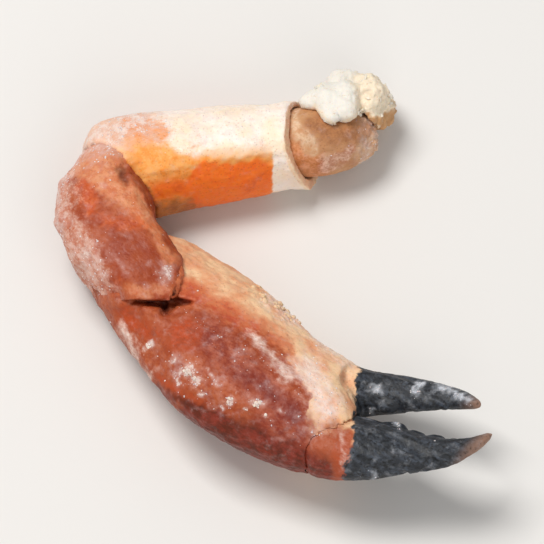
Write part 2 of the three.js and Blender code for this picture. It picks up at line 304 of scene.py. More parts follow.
class Seen:
    """Where points show in the picture that the paint follows, in mm across and up, with
    ragged edges, and how far the surface there faces the view."""

    def __init__(self, piece, ragged=1.0):
        points = self.points = points_of(piece)
        self.front = rise(normals_of(piece) @ PAINT_NEAR, -0.25, 0.2)
        self.across = points[:, 0] + ragged * wander(points, 51)
        self.height = points @ PAINT_UP + ragged * wander(points, 53)

    def stroke(self, width, start, end):
        """A soft stroke of the brush, 1 along its middle, with its half width in mm."""
        line = np.subtract(end, start)
        reach = np.stack((self.across, self.height), axis=1) - start
        share = np.clip(reach @ line / max(line @ line, 0.01), 0, 1)
        gap = np.linalg.norm(reach - share[:, None] * line, axis=1)
        return np.exp(-((gap / width) ** 2)) * self.front

    def dab(self, radius, place):
        return self.stroke(radius, place, place)

    def strokes(self, rows):
        """The sum of a table's strokes, and of its dabs, which have no end."""
        total = 0
        for strength, width, start, *end in rows:
            total = total + strength * self.stroke(width, start, *(end or [start]))
        return total

    def masks(self, table):
        """Every mask in a table of strokes, by name."""
        return {name: self.strokes(rows) for name, rows in table.items()}

    def below(self, border, soft, lift=0.0):
        """1 under a border line that is moved up by the lift, 0 over it."""
        across, height = zip(*border)
        under = np.interp(self.across, across, height) + lift - self.height
        return rise(under, -soft, soft) * self.front

    def fade_behind(self, values, left=0.35):
        """The values, with this share of them left on the side that doesn't show."""
        return values * (left + (1 - left) * self.front)


class PalmPlace:
    """Where points lie on the palm: along it, to its inner face, to its dorsal edge, and the
    turn round its axis in degrees from the inner face towards the dorsal edge."""

    def __init__(self, piece):
        level = np.array((-math.sin(PALM_HEADING), math.cos(PALM_HEADING), 0))
        axis = np.array((math.cos(PALM_HEADING), math.sin(PALM_HEADING), 0))
        inner = level * math.sin(PALM_LEAN) + np.array((0, 0, math.cos(PALM_LEAN)))
        dorsal = np.cross(axis, inner)
        self.points = points_of(piece)
        reach = self.points - WRIST
        self.along = reach @ axis
        self.inner = reach @ inner
        self.dorsal = reach @ dorsal
        self.turn = np.degrees(np.arctan2(self.dorsal, self.inner))
        self.black = self.along - BLACK_SLANT * self.dorsal - BLACK_STARTS

    def finger(self):
        """1 on the black of a finger, 0 on the shell."""
        return rise(self.black, -1, 2)


class ArmPlace:
    """Where points lie on the arm: along it from the elbow, across it to the back, and up."""

    def __init__(self, piece):
        points = self.points = points_of(piece)
        reach = points - ELBOW
        ahead, aside = math.cos(ARM_HEADING), math.sin(ARM_HEADING)
        self.along = reach[:, 0] * ahead + reach[:, 1] * aside
        self.back = reach[:, 1] * ahead - reach[:, 0] * aside
        self.up = reach[:, 2]
        lean = points[:, 0] * math.cos(ARM_RIM_LEAN) + points[:, 2] * math.sin(ARM_RIM_LEAN)
        self.from_rim = ARM_RIM_PLACE * math.cos(ARM_RIM_LEAN) - lean


class RimPlace:
    """Where points lie by the wrist's leaning rim: how far past it towards the elbow, and how
    far out from its middle and in which turn round it."""

    def __init__(self, piece):
        points = self.points = points_of(piece)
        self.way = np.array((0, math.cos(RIM_LEAN), math.sin(RIM_LEAN)))
        slope = np.array((0, -math.sin(RIM_LEAN), math.cos(RIM_LEAN)))
        self.past = points @ self.way - RIM_PLACE * math.cos(RIM_LEAN)
        right = points[:, 0] - RIM_MIDDLE[0]
        up = points @ slope - RIM_MIDDLE[1]
        self.out = np.hypot(right, up)
        self.turn = np.arctan2(up, right)
        across = right[:, None] * (1, 0, 0) + up[:, None] * slope
        self.outward = across / np.maximum(self.out, 0.1)[:, None]


class CarpusPlace:
    """Where points lie on the wrist shell: from its rim to the elbow, and out to its side."""

    def __init__(self, piece):
        points = self.points = points_of(piece)
        self.outward = np.interp(points[:, 1], CARPUS_SPINE_Y, CARPUS_SPINE_X) - points[:, 0]
        self.up = points[:, 2] - CARPUS_SPINE_Z


# The part of the rim that stays open, in the terms of Seen.stroke.
OPEN_SLIT = (2.4, (-26, 0.2), (-18.4, 0.2))
RIM_TURNS = np.linspace(-math.pi, math.pi, 37)


def rim_outline(node_name):
    """How far out a solid's edge runs round the wrist's rim, at each of the rim's turns."""
    place = RimPlace(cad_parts[node_name])
    edge = np.abs(place.past) < 0.4
    radii = []
    for turn in RIM_TURNS:
        gap = np.abs((place.turn[edge] - turn + math.pi) % (2 * math.pi) - math.pi)
        near = gap < 0.2
        radii.append(place.out[edge][near].max() if near.any() else np.nan)
    radii = np.array(radii)
    known = ~np.isnan(radii)
    return np.interp(RIM_TURNS, RIM_TURNS[known], radii[known])


def meet_at_rim(piece, node_name, towards):
    """Brings a shell's edge flush with the other shell's, and up to it, outside the slit."""
    place = RimPlace(piece)
    middle = (rim_outline("propodus") + rim_outline("carpus")) / 2
    step = np.interp(place.turn, RIM_TURNS, middle - rim_outline(node_name))
    shut = 1 - Seen(piece, 0).stroke(*OPEN_SLIT)
    shut *= 1 - rise(place.points[:, 0], -19.5, -16)
    reach = shut * (1 - rise(np.abs(place.past), 0, RIM_EASED))
    shift = (reach * step * np.clip(place.out / 8, 0, 1))[:, None] * place.outward
    closing = shut * (1 - rise(np.abs(place.past), 0.2, RIM_CLOSED))
    move_points(piece, place.points + shift + closing[:, None] * towards * RIM_STEP * place.way)


# ---- shader building ----

def wire(tree, value, socket):
    if isinstance(value, bpy.types.NodeSocket):
        tree.links.new(value, socket)
    else:
        socket.default_value = value


def node(tree, kind, inputs=None, **settings):
    made = tree.nodes.new("ShaderNode" + kind)
    for name, value in settings.items():
        setattr(made, name, value)
    for name, value in (inputs or {}).items():
        wire(tree, value, made.inputs[name])
    return made


def maths(tree, operation, *values):
    return node(tree, "Math", dict(enumerate(values)), operation=operation).outputs[0]


def times(tree, a, b):
    return maths(tree, "MULTIPLY", a, b)


def plus(tree, a, b):
    return maths(tree, "ADD", a, b)


def swing(tree, value, amount):
    """A 0 to 1 pattern as a swing round zero."""
    return maths(tree, "MULTIPLY_ADD", value, amount, -amount / 2)


def painted(tree, name, output="Fac"):
    return node(tree, "Attribute", attribute_name=name).outputs[output]


def stretched(tree, vector, along, across):
    inputs = {0: vector, 1: (along, across, across)}
    return node(tree, "VectorMath", inputs, operation="MULTIPLY").outputs[0]


def noise(tree, vector, per_mm, detail, roughness):
    """A noise pattern of 0 to 1, with so many features to the mm."""
    inputs = {"Vector": vector, "Scale": per_mm, "Detail": detail, "Roughness": roughness}
    return node(tree, "TexNoise", inputs).outputs["Fac"]


def cells(tree, vector, per_mm):
    return node(tree, "TexVoronoi", {"Vector": vector, "Scale": per_mm}).outputs


def remap(tree, value, low, high, *ends):
    """A smooth step from 0 to 1, or between two ends, as the value rises."""
    inputs = dict(enumerate((value, low, high, *ends)))
    return node(tree, "MapRange", inputs, interpolation_type="SMOOTHSTEP").outputs[0]


MIX_INPUTS = (0, 6, 7)  # where a Mix node takes its share and its two colours
MIX_RESULT = 2


def mix(tree, *share_and_colours):
    inputs = dict(zip(MIX_INPUTS, share_and_colours))
    return node(tree, "Mix", inputs, data_type="RGBA", clamp_factor=True).outputs[MIX_RESULT]


# The kinds of the groups' sockets, where they aren't plain numbers.
SOCKET_KINDS = dict.fromkeys(("Under", "First", "Second", "Colour"), "Color")
SOCKET_KINDS["Vector"] = "Vector"


def new_group(name, inputs, outputs):
    """An empty shader node group with named sockets."""
    tree = bpy.data.node_groups.new(name, "ShaderNodeTree")
    for way, titles in (("INPUT", inputs), ("OUTPUT", outputs)):
        for title in titles:
            kind = "NodeSocket" + SOCKET_KINDS.get(title, "Float")
            tree.interface.new_socket(title, in_out=way, socket_type=kind)
    given = tree.nodes.new("NodeGroupInput").outputs
    return tree, given, tree.nodes.new("NodeGroupOutput").inputs


def use_group(tree, group, **inputs):
    return node(tree, "Group", inputs, node_tree=group).outputs


def layer_group():
    """One coat of paint: its edge is broken up by two grains of noise, and the coat is
    mottled between two colours."""
    inputs = ("Vector", "Under", "Mask", "First", "Second", "Ragged", "Strength")
    tree, given, out = new_group("layer", inputs, ("Colour",))
    fine = noise(tree, given["Vector"], 1.9, 4, 0.65)
    broad = noise(tree, given["Vector"], 0.5, 4, 0.6)
    swung = plus(tree, swing(tree, fine, 1.1), swing(tree, broad, 1.3))
    edge = maths(tree, "MULTIPLY_ADD", swung, given["Ragged"], given["Mask"])
    share = times(tree, remap(tree, edge, 0.08, 0.92), given["Strength"])
    mottle = plus(tree, times(tree, broad, 0.6), times(tree, fine, 0.4))
    pair = mix(tree, remap(tree, mottle, 0.38, 0.62), given["First"], given["Second"])
    wire(tree, mix(tree, share, given["Under"], pair), out["Colour"])
    return tree


def speckle_group():
    """Round dots, in a share of the cells of a scattered pattern."""
    tree, given, out = new_group("speckle", ("Vector", "Per_mm", "Share", "Size"), ("Mask",))
    spots = cells(tree, given["Vector"], given["Per_mm"])
    pick = node(tree, "SeparateColor", {"Color": spots["Color"]}).outputs[0]
    chosen = remap(tree, pick, given["Share"], maths(tree, "SUBTRACT", given["Share"], 0.08))
    uneven = times(tree, given["Size"], plus(tree, pick, 0.6))
    inside = remap(tree, spots["Distance"], uneven, times(tree, uneven, 0.4))
    wire(tree, times(tree, inside, chosen), out["Mask"])
    return tree


def frost_group():
    """Ice on the shell: a thin haze, with dots and grains of rime that thicken with it."""
    tree, given, out = new_group("frost", ("Vector", "Cover"), ("Mask", "Height"))
    drift = noise(tree, given["Vector"], 0.55, 5, 0.6)
    grain = noise(tree, given["Vector"], 3.2, 3, 0.62)
    patchy = plus(tree, swing(tree, drift, 2.0), given["Cover"])
    haze = times(tree, remap(tree, patchy, 0.05, 1.25), 0.62)
    grainy = plus(tree, patchy, swing(tree, grain, 1.6))
    rime = times(tree, remap(tree, grainy, 0.66, 1.1), 0.75)
    share = maths(tree, "MULTIPLY_ADD", given["Cover"], 0.7, 0.02)
    dots = use_group(tree, SPECKLE, Vector=given["Vector"], Per_mm=1.25, Share=share, Size=0.22)
    mask = maths(tree, "MAXIMUM", haze, rime)
    mask = maths(tree, "MAXIMUM", mask, times(tree, dots["Mask"], 0.6))
    wire(tree, mask, out["Mask"])
    wire(tree, plus(tree, rime, dots["Mask"]), out["Height"])
    return tree


def pits_group():
    """The shell's fine pits and low granules."""
    tree, given, out = new_group("pits", ("Vector", "Per_mm"), ("Height", "Pit"))
    pit = remap(tree, cells(tree, given["Vector"], given["Per_mm"])["Distance"], 0.3, 0.06)
    granules = noise(tree, given["Vector"], 1.3, 4, 0.6)
    wire(tree, maths(tree, "SUBTRACT", granules, times(tree, pit, 0.5)), out["Height"])
    wire(tree, pit, out["Pit"])
    return tree


LAYER = layer_group()
SPECKLE = speckle_group()
FROST = frost_group()
PITS = pits_group()

# The colours, as the photograph shows them in soft light.
CREAM = colour(240, 200, 158)
PALE = colour(252, 240, 230)
IVORY = colour(250, 228, 200)
PETAL = colour(240, 206, 188)
PEACH = colour(228, 156, 112)
HONEY = colour(244, 174, 96)
AMBER = colour(240, 142, 50)
VIVID = colour(246, 110, 26)
TANGERINE = colour(248, 124, 30)
ORANGE = colour(206, 96, 38)
EMBER = colour(188, 72, 24)
BRICK = colour(152, 60, 26)
CLAY = colour(176, 86, 46)
ROSE = colour(168, 84, 60)
SALMON = colour(206, 114, 70)
CORAL = colour(196, 82, 52)
SHADE_UMBER = colour(80, 29, 13)
MAROON = colour(126, 40, 26)
WINE = colour(112, 32, 24)
SHADE_DEEP = colour(78, 24, 14)
HAZE = colour(222, 176, 162)
ICE = colour(242, 230, 222)
LILAC = colour(222, 200, 198)
GLINT = colour(226, 230, 238)
CHARCOAL = colour(42, 45, 50)
SLATE = colour(70, 76, 86)
SOOT = colour(20, 20, 22)
WORN = colour(150, 116, 98)
CARAMEL = colour(190, 112, 54)
BEIGE = colour(198, 148, 104)
TAN = colour(180, 122, 78)
SHADE_BROWN = colour(146, 92, 56)
SAND = colour(226, 196, 164)
MEAT = colour(234, 229, 219)
MEAT_CREAM = colour(241, 225, 200)
MEAT_SHADE = colour(200, 152, 104)
RIME_WHITE = colour(250, 240, 236)
LUMP_WHITE = colour(244, 222, 206)
FLOOR_GREY = colour(226, 224, 221)


def new_material(name):
    """A material with its node tree and its surface's inputs."""
    material = bpy.data.materials.new(name)
    material.use_nodes = True
    tree = material.node_tree
    return material, tree, tree.nodes["Principled BSDF"].inputs


def finish(tree, skin, tone, roughness, flesh, relief):
    """Wires a surface's colour and roughness; how light spreads under it, as the share, the
    reach of red, green and blue, and its scale in mm; and its relief, as the height, the
    strength and the distance in mm."""
    share, reach, scale = flesh
    height, strength, distance = relief
    bump = node(tree, "Bump", {"Height": height, "Strength": strength, "Distance": distance * MM})
    values = {
        "Base Color": tone, "Roughness": roughness, "Normal": bump.outputs[0],
        "Subsurface Weight": share, "Subsurface Radius": reach, "Subsurface Scale": scale * MM,
    }
    for title, value in values.items():
        wire(tree, value, skin[title])


def black_of_fingers(tree, lie, fine):
    """Black with slate streaks along the finger, and worn brown at its tip."""
    streaks = noise(tree, stretched(tree, lie, 0.3, 1), 0.9, 4, 0.6)
    coal = mix(tree, remap(tree, streaks, 0.4, 0.72), CHARCOAL, SLATE)
    coal = mix(tree, remap(tree, fine, 0.56, 0.32), coal, SOOT)
    bare = times(tree, painted(tree, "worn"), remap(tree, fine, 0.18, 0.5))
    return mix(tree, bare, coal, WORN)


def shell_material(name, ground, coats, grain=1.0, bump=0.4):
    """A shell's paint over its ground of two colours. Each coat is (painted mask, first
    colour, second colour, raggedness, strength). A grain under 1 draws the mottling out
    along the piece."""
    material, tree, skin = new_material(name)
    lie = painted(tree, "lie", "Vector")
    fine = noise(tree, lie, 1.5, 5, 0.62)
    broad = noise(tree, lie, 0.22, 4, 0.55)

    tone = mix(tree, remap(tree, broad, 0.35, 0.7), *ground)
    drawn = stretched(tree, lie, grain, 1)
    for mask, first, second, ragged, strength in coats:
        coat = use_group(tree, LAYER, Vector=drawn, Under=tone, Mask=painted(tree, mask),
                         First=first, Second=second, Ragged=ragged, Strength=strength)
        tone = coat["Colour"]

    flecks = use_group(tree, SPECKLE, Vector=lie, Per_mm=1.5, Share=0.45, Size=0.26)["Mask"]
    tone = mix(tree, times(tree, flecks, times(tree, painted(tree, "fleck"), 0.5)), tone, EMBER)
    pits = use_group(tree, PITS, Vector=lie, Per_mm=1.3)
    tone = mix(tree, times(tree, pits["Pit"], 0.22), tone, WINE)
    # Painted shade: dark red-brown in the wrist's slit and notch, by the finger's root and in the
    # wrist's hollow.
    tone = mix(tree, times(tree, painted(tree, "shade"), 0.85), tone, SHADE_DEEP)

    blackness = plus(tree, painted(tree, "black"), swing(tree, fine, 0.9))
    black = remap(tree, blackness, 0.3, 0.72)
    tone = mix(tree, black, tone, black_of_fingers(tree, lie, fine))

    frost = use_group(tree, FROST, Vector=lie, Cover=painted(tree, "frost"))
    ice = mix(tree, remap(tree, broad, 0.4, 0.6), HAZE, LILAC)
    ice = mix(tree, frost["Height"], ice, ICE)
    # On the black of the fingers the frost is bluish-white: frost, and a painted highlight.
    ice = mix(tree, black, ice, GLINT)
    tone = mix(tree, frost["Mask"], tone, ice)

    gloss = remap(tree, fine, 0.3, 0.7, 0.38, 0.56)
    gloss = remap(tree, frost["Mask"], 0, 0.8, gloss, 0.7)
    height = plus(tree, pits["Height"], times(tree, frost["Height"], 0.5))
    height = plus(tree, height, times(tree, fine, 0.6))
    finish(tree, skin, tone, gloss, (0.08, (1.0, 0.45, 0.25), 1.0), (height, bump, 0.3))
    skin["Specular IOR Level"].default_value = 0.3
    return material


def soft_material(name, first, second, per_mm, roughness, flesh, bump):
    """Meat, membrane or ice: two colours that drift into each other, and a fine relief."""
    material, tree, skin = new_material(name)
    place = node(tree, "TexCoord").outputs["Object"]
    drift = noise(tree, place, per_mm / MM, 5, 0.62)
    tone = mix(tree, remap(tree, drift, 0.36, 0.64), first, second)
    finish(tree, skin, tone, roughness, (flesh, (1.0, 0.6, 0.4), 1.0), (drift, bump, 0.4))
    return material


def knuckle_material():
    """White meat that turns cream towards its torn end and browner at its far right, with painted
    shade low down, in a strip under the torn meat, and in the creases of its grain.
    """
    material, tree, skin = new_material("knuckle meat")
    lie = painted(tree, "lie", "Vector")
    crumbs = noise(tree, lie, 1.3, 6, 0.66)
    broad = noise(tree, lie, 0.3, 3, 0.5)
    creamy = plus(tree, painted(tree, "creamy"), swing(tree, broad, 1.0))
    tone = mix(tree, remap(tree, creamy, 0.1, 0.9), MEAT, MEAT_CREAM)
    brown = plus(tree, painted(tree, "brown"), swing(tree, crumbs, 1.3))
    tone = mix(tree, remap(tree, brown, 0.25, 0.95), tone, MEAT_SHADE)
    # Painted shade in the creases of the grain.
    creases = times(tree, remap(tree, crumbs, 0.42, 0.28), 0.55)
    tone = mix(tree, creases, tone, MEAT_SHADE)
    finish(tree, skin, tone, 0.62, (0.2, (1.0, 0.7, 0.45), 1.2), (crumbs, 0.5, 0.35))
    return material


# ---- the coats of paint: painted mask, first and second colour, raggedness, strength ----

PALM_COATS = (
    ("salmon", SALMON, PEACH, 0.6, 0.85),
    ("brick", BRICK, CLAY, 0.5, 0.95),
    ("coral", CORAL, SALMON, 0.6, 0.8),
    ("maroon", MAROON, ROSE, 0.5, 0.85),
    ("ember", EMBER, BRICK, 0.45, 0.85),
    ("wine", WINE, MAROON, 0.5, 0.8),
    # Painted shade along the palm's lower edge; the outer side is darkened too.
    ("edge_shade", SHADE_UMBER, MAROON, 0.4, 0.9),
    ("pale", PETAL, PALE, 0.5, 0.75),
)
WRIST_COATS = (
    ("dusk", MAROON, BRICK, 0.5, 0.5),
    ("peach", PEACH, SALMON, 0.5, 0.85),
    ("ember", EMBER, ORANGE, 0.5, 0.85),
    ("rose", SALMON, PETAL, 0.6, 0.65),
    # A painted highlight: a lighter band along the rim's lip above the slit.
    ("lip", SALMON, PEACH, 0.4, 0.45),
)
ARM_COATS = (
    ("honey", HONEY, CREAM, 0.6, 0.85),
    ("amber", AMBER, HONEY, 0.6, 1.0),
    ("petal", PETAL, PEACH, 0.6, 0.7),
    ("patch", PEACH, AMBER, 0.6, 0.85),
    ("vivid", VIVID, TANGERINE, 0.3, 1.0),
    # Painted shade at the arm's lower left and in the crease by the elbow.
    ("arm_shade", SHADE_BROWN, CARAMEL, 0.5, 0.8),
    ("scarlet", EMBER, VIVID, 0.5, 0.8),
    ("rim", IVORY, CREAM, 0.3, 0.8),
    # Painted shade: a warmer, darker tone on the rim's inner wall.
    ("mouth", PEACH, CREAM, 0.3, 0.75),
)
ARM_END_COATS = (
    ("caramel", CARAMEL, PEACH, 0.4, 0.85),
    # A painted highlight band on the dome, and the frost at its right end.
    ("highlight_and_frost", SAND, BEIGE, 0.5, 0.8),
    # Painted shade under the knuckle meat.
    ("brown", SHADE_BROWN, TAN, 0.5, 0.8),
    ("rosy", ROSE, PETAL, 0.5, 0.6),
)


# ---- the pieces ----

def put_on(piece, node_name, material):
    """Ends a piece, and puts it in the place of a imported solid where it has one."""
    piece.data.materials.append(material)
    sit(piece)
    only(piece)
    bpy.ops.object.shade_smooth()
    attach(piece, "root")
    if node_name:
        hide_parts(node_name)
    return piece


# In every table of strokes below, a stroke is (strength, half width, start, end) and a dab is
# (strength, radius, place), in mm across and up.

# Where the wrist shell's flank lies against the palm, beside the slit, and where its upper
# flank lies against the arm.
SIDE_SEAM = ((1, 1.5, (-18.6, 8), (-19.7, 1.7)),)
ELBOW_SEAM = ((1, 1.2, (-28.4, 26.7), (-25.6, 22)), (1, 1.2, (-25.6, 22), (-23.2, 17.2)))
# The crack beside the slit.
CRACK_TOP = (-18.2, 6.4)
CRACK_FOOT = (-19.4, 1.6)

# The border under which the palm is dark, from the wrist to the finger's root.
PALM_BORDER = (
    (-30, 12), (-17, 3), (-10, -0.9), (-5, -3.4), (-1, -5.8), (2.2, -9), (4.7, -12.8), (7, -17),
    (7.2, -22), (16, -32),
)
# Lumps of frost on the palm: place and radius.
FROST_LUMPS = (
    ((-16.5, -13.5), 1.2), ((-15.2, -14.7), 0.7), ((-8.3, -18.8), 0.9), ((-3, -19.6), 1.1),
    ((-5, -20.6), 0.5), ((-24.2, -8.7), 0.8), ((-14, -17.2), 0.6), ((-1.2, -21.6), 0.5),
    ((-19.6, -10.6), 0.6), ((-10, -20.2), 0.4), ((-17.8, -15.4), 0.5), ((-6.4, -17.6), 0.4),
    ((1.6, -20.4), 0.4), ((-12.6, -12.6), 0.4), ((4, -25.6), 0.4),
)
# Painted shade along the palm's lower edge, a dark margin where the frost is thinned.
PALM_MARGIN = (3.8, (-14, -24), (8, -34))
PALM_STROKES = {
    "hinge": ((1, 3.6, (10.2, -26.4), (12.6, -32.5)), (1, 2, (14.4, -25.4), (14.6, -34))),
    "coral": ((1, 2.2, (-17, 3), (-4, -5)), (0.6, 1.2, (0, -7), (3.5, -8.5))),
    "maroon": ((1, 4.2, (-12.4, -6), (4.4, -22.4)), (0.7, 3, (-2, -24.5), (7, -29.5))),
    "wine": ((1, 2.6, (4.2, -21.4)), (0.8, 1.9, (-5.5, -14), (0.5, -18))),
    "ember": (
        (1.25, 3.3, (-16.9, -6.4)), (0.8, 2.4, (-29, -2.4), (-24, -6)),
        (0.6, 1.8, (-22, -14.6), (-9, -23)),
    ),
    # Painted shade along the palm's lower edge.
    "edge_shade": ((1.9, *PALM_MARGIN), (0.7, 1.4, (-22, -17), (-9, -25))),
    "pale": (
        (0.6, 1.2, (-4.3, -6), (3, -13.6)), (0.85, 2.8, (6.8, -12.5), (11, -20.5)),
        (0.6, 1.4, (-29.8, -5), (-24.6, -14.6)), (0.8, 0.9, (-24.2, -8.7)),
        (0.7, 1.6, (-0.5, 0.4), (13, -9.6)), (0.6, 2.6, (15, -11.4)),
        (0.4, 0.9, (13.6, -25), (14.4, -32)),
    ),
}
PALM_FROST = (
    (0.5, 2.8, (7, -13), (11, -21)), (0.16, 3.6, (-13, -4), (5, -22)),
    (0.2, 1.2, (-5, -6.4), (3, -15)), (0.34, 2.4, (-20, -12), (-13, -16.5)),
    (0.16, 2.6, (-10, -19), (2, -25)), (0.3, 1.6, (-0.5, 0.4), (13, -9.6)),
    (0.4, 1.4, (8.8, -24.2)),
)
# The bright spots on the black of the fingers: frost, and painted highlights.
FINGER_FROST_AND_GLINTS = (
    (1.3, 1, (20.2, -16.4)), (1.6, 1.1, (28.6, -17.2)), (0.5, 0.9, (20, -34)),
    (0.8, 0.9, (32.6, -16.6), (38.6, -18.6)), (0.7, 1, (24.5, -23.2)), (0.7, 1, (19.3, -21.7)),
)
# Painted shade in the slit at the wrist and its notch, and by the moving finger's root.
SLIT_SHADE = (
    (1, 0.4, (-24.4, 0), (-17.8, 0.5)), (1.4, 0.55, (-21.3, -0.4), (-21, -1.7)),
    (1, 0.9, (-21.2, -0.6), (-21.2, -0.9)),
)
ROOT_SHADE = ((0.4, 0.8, (12, -23.4)),)
PALM_RELIEF = ((0.7, 6, "clouds"), (0.3, 1.7, "cells"), (0.16, 0.8, "clouds"))


def paint_shell_of_palm(seen, place):
    """The paint of the palm and of both fingers' roots, as masks by name."""
    far = 1 - seen.front
    reach = 1 - rise(place.along - 0.4 * place.dorsal, 36, 54)
    outer = far * rise(np.abs(place.turn), 100, 130) * reach
    dark = seen.below(PALM_BORDER, 1.9)
    masks = seen.masks(PALM_STROKES)
    hinge = masks.pop("hinge")
    masks["ember"] += 0.35 * hinge
    # The outer side is darkened too.
    masks["edge_shade"] += 0.5 * outer
    masks["brick"] = np.maximum.reduce([dark, 0.85 * outer, 0.9 * hinge])
    edge = seen.below(PALM_BORDER, 2.6, 2.4) * (1 - rise(seen.across, 4, 9))
    masks["salmon"] = np.maximum(edge, outer)
    masks["fleck"] = 0.7 - 0.5 * dark
    return masks


def frost_of_palm(seen):
    """How thick the frost lies on the palm."""
    lumps = seen.stroke(0.5, (-12.2, -13.6), (-10.6, -16.2))
    for place, radius in FROST_LUMPS:
        lumps = np.maximum(lumps, seen.dab(radius, place))
    frost = 0.08 + 0.07 * ripple(seen.points, 3, 5) + seen.strokes(PALM_FROST) + 0.9 * lumps
    return seen.fade_behind(frost * (1 - 0.7 * seen.stroke(*PALM_MARGIN)))


def paint_palm(piece, tip):
    """Paints the palm's masks, and the black past its slanting edge."""
    place = PalmPlace(piece)
    seen = Seen(piece)
    write_lie(piece, place.along, place.inner, place.dorsal)
    edge = place.black + 0.6 * ripple(place.points, 2.6, 8) + 0.5 * ripple(place.points, 1.1, 9)
    past = rise(edge, -1.4, 1.2)
    frost_and_glints_of_fingers = 0.04 + seen.strokes(FINGER_FROST_AND_GLINTS)
    write_shell_masks(
        piece, black=past, worn=rise(place.along, *tip),
        shade=Seen(piece, 0.25).strokes(SLIT_SHADE) + seen.strokes(ROOT_SHADE),
        frost=frost_of_palm(seen) * (1 - past) + frost_and_glints_of_fingers * past,
        **paint_shell_of_palm(seen, place),
    )


def groove(piece, past, place, middle, count):
    """Cuts grooves along a finger's black, spread round its own middle line."""
    inner = place.inner - FINGER_RISE * np.maximum(place.along - FINGER_START, 0)
    turn = np.arctan2(place.dorsal - middle, inner)
    wave = 0.5 + 0.5 * np.cos(turn * count + 0.8 * ripple(place.points, 9, 61))
    swell(piece, past * rise(wave, 0.55, 1), -0.35)


def make_propodus(material):
    piece = rounded_copy("propodus", "palm_and_fixed_finger", PALM_CELL)
    meet_at_rim(piece, "propodus", 1)
    past = PalmPlace(piece).finger()
    roughen(piece, 1 - past, *PALM_RELIEF)
    seen = Seen(piece)
    swell(piece, seen.strokes(SIDE_SEAM), 0.75)
    swell(piece, seen.stroke(1.3, (-29, -0.4), (-25, -0.3)), 0.6)
    swell(piece, Seen(piece, 0.25).stroke(0.7, (-21.2, -0.6), (-21, -1.8)), -0.8)
    roughen(piece, seen.stroke(1.8, (-3, 2), (14, -9.5)), (0.9, 1.5, "sharp"), middle=0.4)
    groove(piece, past, PalmPlace(piece), *FIXED_GROOVES)
    roughen(piece, past, (0.25, 1.6, "clouds"))
    paint_palm(piece, FIXED_TIP)
    return put_on(piece, "propodus", material)


def make_dactylus(material):
    piece = rounded_copy("dactylus", "moving_finger", FINGER_CELL)
    place = PalmPlace(piece)
    past = place.finger()
    swell(piece, (1 - past) * rise(place.along, 58, 52), 0.45)
    roughen(piece, 1 - past, (0.2, 1.4, "cells"))
    groove(piece, past, place, *MOVING_GROOVES)
    roughen(piece, past, (0.28, 1.6, "clouds"))
    paint_palm(piece, MOVING_TIP)
    return put_on(piece, "dactylus", material)


# The wrist shell's end by the elbow, and the small hollow in its face, where shade is painted.
WRIST_ELBOW = (4.2, (-36, 31), (-29, 33))
WRIST_HOLLOW = (0.9, (-30.3, 25.6), (-28.9, 23.6))
WRIST_STROKES = {
    "peach": (
        (1, 2.6, (-38.2, 26.2), (-31.6, 27.2)), (0.9, 2.6, (-34, 23.6), (-28.4, 19.6)),
        (0.8, 1.3, (-27.8, 23), (-25.6, 17.6)), (0.8, 1.4, (-25, 16.5), (-19.8, 8)),
        (0.8, *WRIST_ELBOW),
    ),
    "ember": (
        (1, 1.6, (-37.4, 22.6), (-36.2, 18.6)), (0.65, 1.8, (-33, 16), (-25, 15.4)),
        (0.6, 1.6, (-36, 3), (-30, 3)),
    ),
    "dusk": ((1, 3.6, (-29.5, 11), (-25, 7)),),
    # A painted highlight: a lighter band along the rim's lip above the slit.
    "lip": ((1, 1.3, (-27.6, 2.4), (-20.4, 2.4)),),
}
WRIST_FROST = (
    (0.6, *WRIST_ELBOW), (0.9, 1.8, (-20.9, 6)), (0.25, 4, (-34, 8)), (0.3, 1.3, (-33, 23.5)),
    (0.35, 1.5, (-43.5, 12), (-42.5, 26)),
)
WRIST_RELIEF = ((0.24, 1.6, "cells"), (0.16, 0.8, "clouds"))


def make_carpus(material):
    piece = rounded_copy("carpus", "wrist_shell", SHELL_CELL)
    meet_at_rim(piece, "carpus", -1)
    place = CarpusPlace(piece)
    roughen(piece, 1, (0.5, 5, "clouds"))
    margin = rise(place.outward, 5.5, 8) * band(place.points[:, 1], -4, 22, 4)
    roughen(piece, margin, (0.4, 1.8, "clouds"), middle=0.4)
    roughen(piece, 1, *WRIST_RELIEF)
    seen = Seen(piece)
    swell(piece, seen.strokes(SIDE_SEAM), 0.5)
    swell(piece, seen.strokes(ELBOW_SEAM), 0.45)
    swell(piece, seen.stroke(3.6, (-37, 31), (-31, 31)), 0.55)
    swell(piece, seen.stroke(0.9, (-30.3, 25.6), (-28.8, 23.4)), -0.6)

    place = CarpusPlace(piece)
    seen = Seen(piece)
    write_lie(piece, -place.points[:, 1], place.outward, place.up)
    rose = rise(place.outward + 1.3 * ripple(place.points, 5, 21), 3.2, 8.4) * seen.front
    hollow = seen.stroke(*WRIST_HOLLOW)
    frost = 0.1 + 0.08 * ripple(place.points, 3, 22) + 0.3 * rose + seen.strokes(WRIST_FROST)
    masks = seen.masks(WRIST_STROKES)
    masks["dusk"] += 0.5 * (1 - seen.front)
    masks["rose"] = np.maximum(0.8 * rose, 0.5 * seen.stroke(*WRIST_ELBOW)) * (1 - hollow)
    masks["frost"] = seen.fade_behind(frost * (1 - 0.9 * hollow))
    # Painted shade in the small hollow by the elbow.
    write_shell_masks(piece, fleck=0.35, **masks, shade=0.75 * hollow)
    return put_on(piece, "carpus", material)


